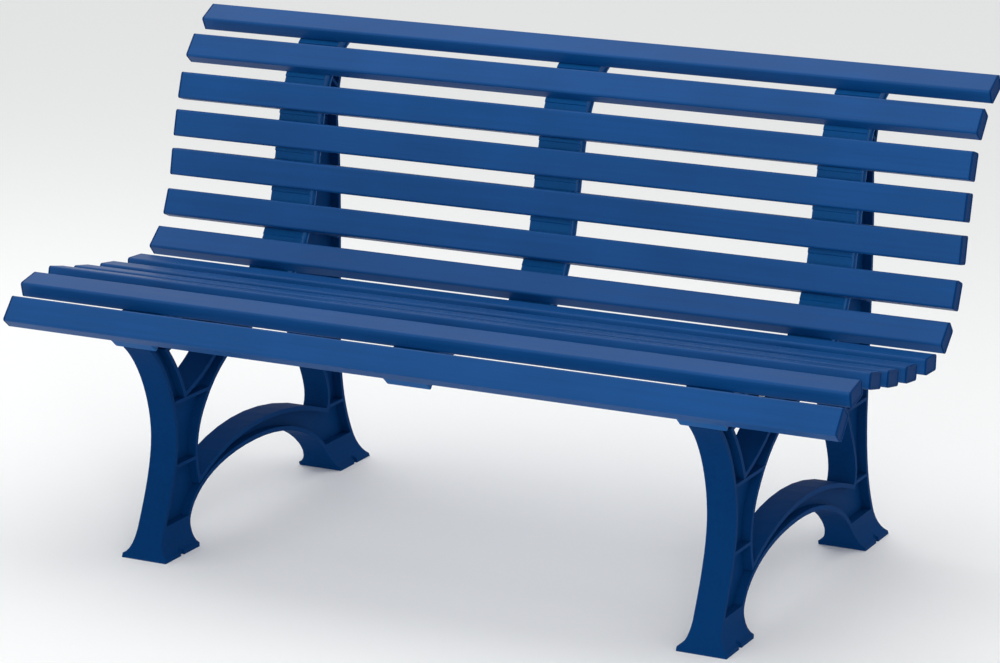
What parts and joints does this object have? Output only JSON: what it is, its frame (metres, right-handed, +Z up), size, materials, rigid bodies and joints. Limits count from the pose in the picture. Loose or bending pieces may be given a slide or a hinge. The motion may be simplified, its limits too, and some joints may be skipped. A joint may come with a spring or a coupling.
{
  "type": "park bench with back",
  "caption": "Park bench with a curved slatted seat and back on two arched moulded leg frames and a middle rail.",
  "frame": {"origin": "middle of the bench on the floor, under the middle of its box", "axes": "+X along the bench, -Y towards the sitter, +Z up"},
  "size_m": [1.5, 0.7806, 0.8417],
  "materials": {
    "slat": "extruded hollow polypropylene plank, satin, faint lines along its length",
    "cap": "moulded polypropylene end cap, fine matt grain",
    "rail": "moulded polypropylene rail, satin",
    "leg_frame": "moulded polypropylene leg frame, satin, sunk panels between flanges",
    "bolt": "zinc plated hex bolt"
  },
  "bodies": {
    "root": {"slat_seat_1": "slat", "cap_seat_1_left": "cap", "cap_seat_1_right": "cap", "slat_seat_2": "slat", "cap_seat_2_left": "cap", "cap_seat_2_right": "cap", "slat_seat_3": "slat", "cap_seat_3_left": "cap", "cap_seat_3_right": "cap", "slat_seat_4": "slat", "cap_seat_4_left": "cap", "cap_seat_4_right": "cap", "slat_seat_5": "slat", "cap_seat_5_left": "cap", "cap_seat_5_right": "cap", "slat_seat_6": "slat", "cap_seat_6_left": "cap", "cap_seat_6_right": "cap", "slat_back_1": "slat", "cap_back_1_left": "cap", "cap_back_1_right": "cap", "slat_back_2": "slat", "cap_back_2_left": "cap", "cap_back_2_right": "cap", "slat_back_3": "slat", "cap_back_3_left": "cap", "cap_back_3_right": "cap", "slat_back_4": "slat", "cap_back_4_left": "cap", "cap_back_4_right": "cap", "slat_back_5": "slat", "cap_back_5_left": "cap", "cap_back_5_right": "cap", "slat_back_6": "slat", "cap_back_6_left": "cap", "cap_back_6_right": "cap", "slat_back_7": "slat", "cap_back_7_left": "cap", "cap_back_7_right": "cap", "rail_middle": "rail", "rail_left": "rail", "leg_frame_left": "leg_frame", "bolt_left_seat_4": "bolt", "bolt_left_seat_6": "bolt", "bolt_left_back_3": "bolt", "bolt_left_back_5": "bolt", "rail_right": "rail", "leg_frame_right": "leg_frame", "bolt_right_seat_4": "bolt", "bolt_right_seat_6": "bolt", "bolt_right_back_3": "bolt", "bolt_right_back_5": "bolt"}
  },
  "joints": []
}
